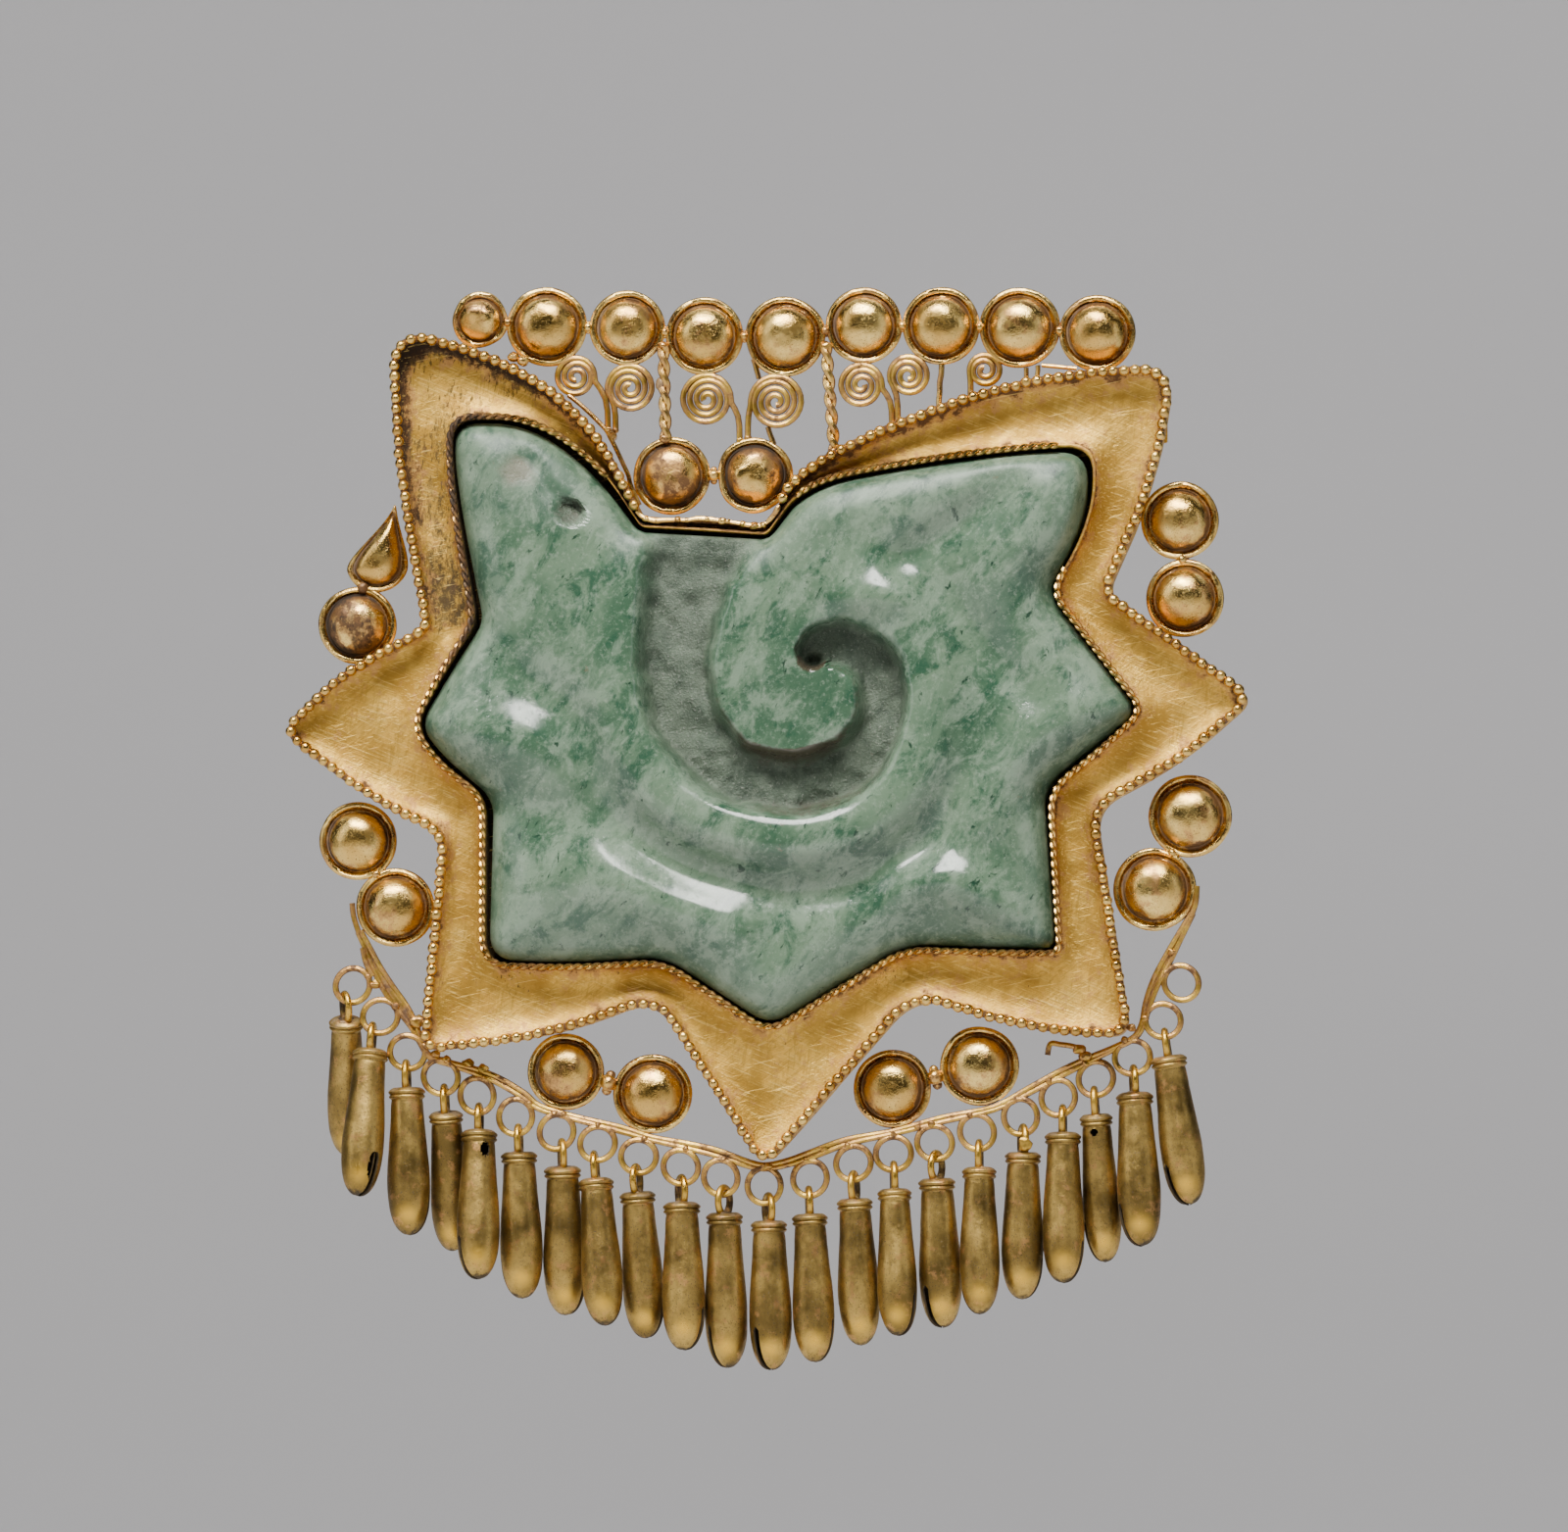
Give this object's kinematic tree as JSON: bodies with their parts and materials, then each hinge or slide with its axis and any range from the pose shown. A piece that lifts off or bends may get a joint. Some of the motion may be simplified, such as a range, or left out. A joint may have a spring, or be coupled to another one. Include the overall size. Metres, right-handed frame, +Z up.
{
  "type": "pectoral ornament",
  "caption": "Jade plaque with a carved spiral in a star-shaped beaded gold tray, with domed bosses and wire scrolls above and a fringe of slit bells on rings below.",
  "frame": {"origin": "on the cord's line, halfway between the two cord tubes on the back", "axes": "+Z up as it hangs, +X to the viewer's right, the front faces -Y"},
  "size_m": [0.082, 0.0115, 0.0921],
  "materials": {
    "jade": "polished stone",
    "gold": "worn soft gold",
    "old_gold": "darkened gold"
  },
  "bodies": {
    "root": {"jade_plaque": "jade", "frame_tray": "gold", "beaded_wire": "gold", "rope_wire": "gold", "edge_wire": "gold", "crest_bosses": "gold", "notch_bosses": "gold", "scroll_1": "gold", "scroll_2": "gold", "scroll_3": "gold", "scroll_4": "gold", "scroll_5": "gold", "scroll_6": "gold", "scroll_7": "gold", "post_1": "gold", "post_2": "gold", "post_3": "gold", "post_4": "gold", "post_5": "gold", "post_6": "gold", "post_7": "gold", "post_8": "gold", "bosses_left_upper": "gold", "bosses_left_lower": "gold", "bosses_right_upper": "gold", "bosses_right_lower": "gold", "bosses_bottom_left": "gold", "bosses_bottom_right": "gold", "bell_rail": "gold", "bell_01": "old_gold", "bell_02": "old_gold", "bell_03": "old_gold", "bell_04": "old_gold", "bell_05": "old_gold", "bell_06": "old_gold", "bell_07": "old_gold", "bell_08": "old_gold", "bell_09": "old_gold", "bell_10": "old_gold", "bell_11": "old_gold", "bell_12": "old_gold", "bell_13": "old_gold", "bell_14": "old_gold", "bell_15": "old_gold", "bell_16": "old_gold", "bell_17": "old_gold", "bell_18": "old_gold", "bell_19": "old_gold", "bell_20": "old_gold", "bell_21": "old_gold", "bell_22": "old_gold", "suspension_tube_left": "gold", "suspension_tube_right": "gold"}
  },
  "joints": []
}
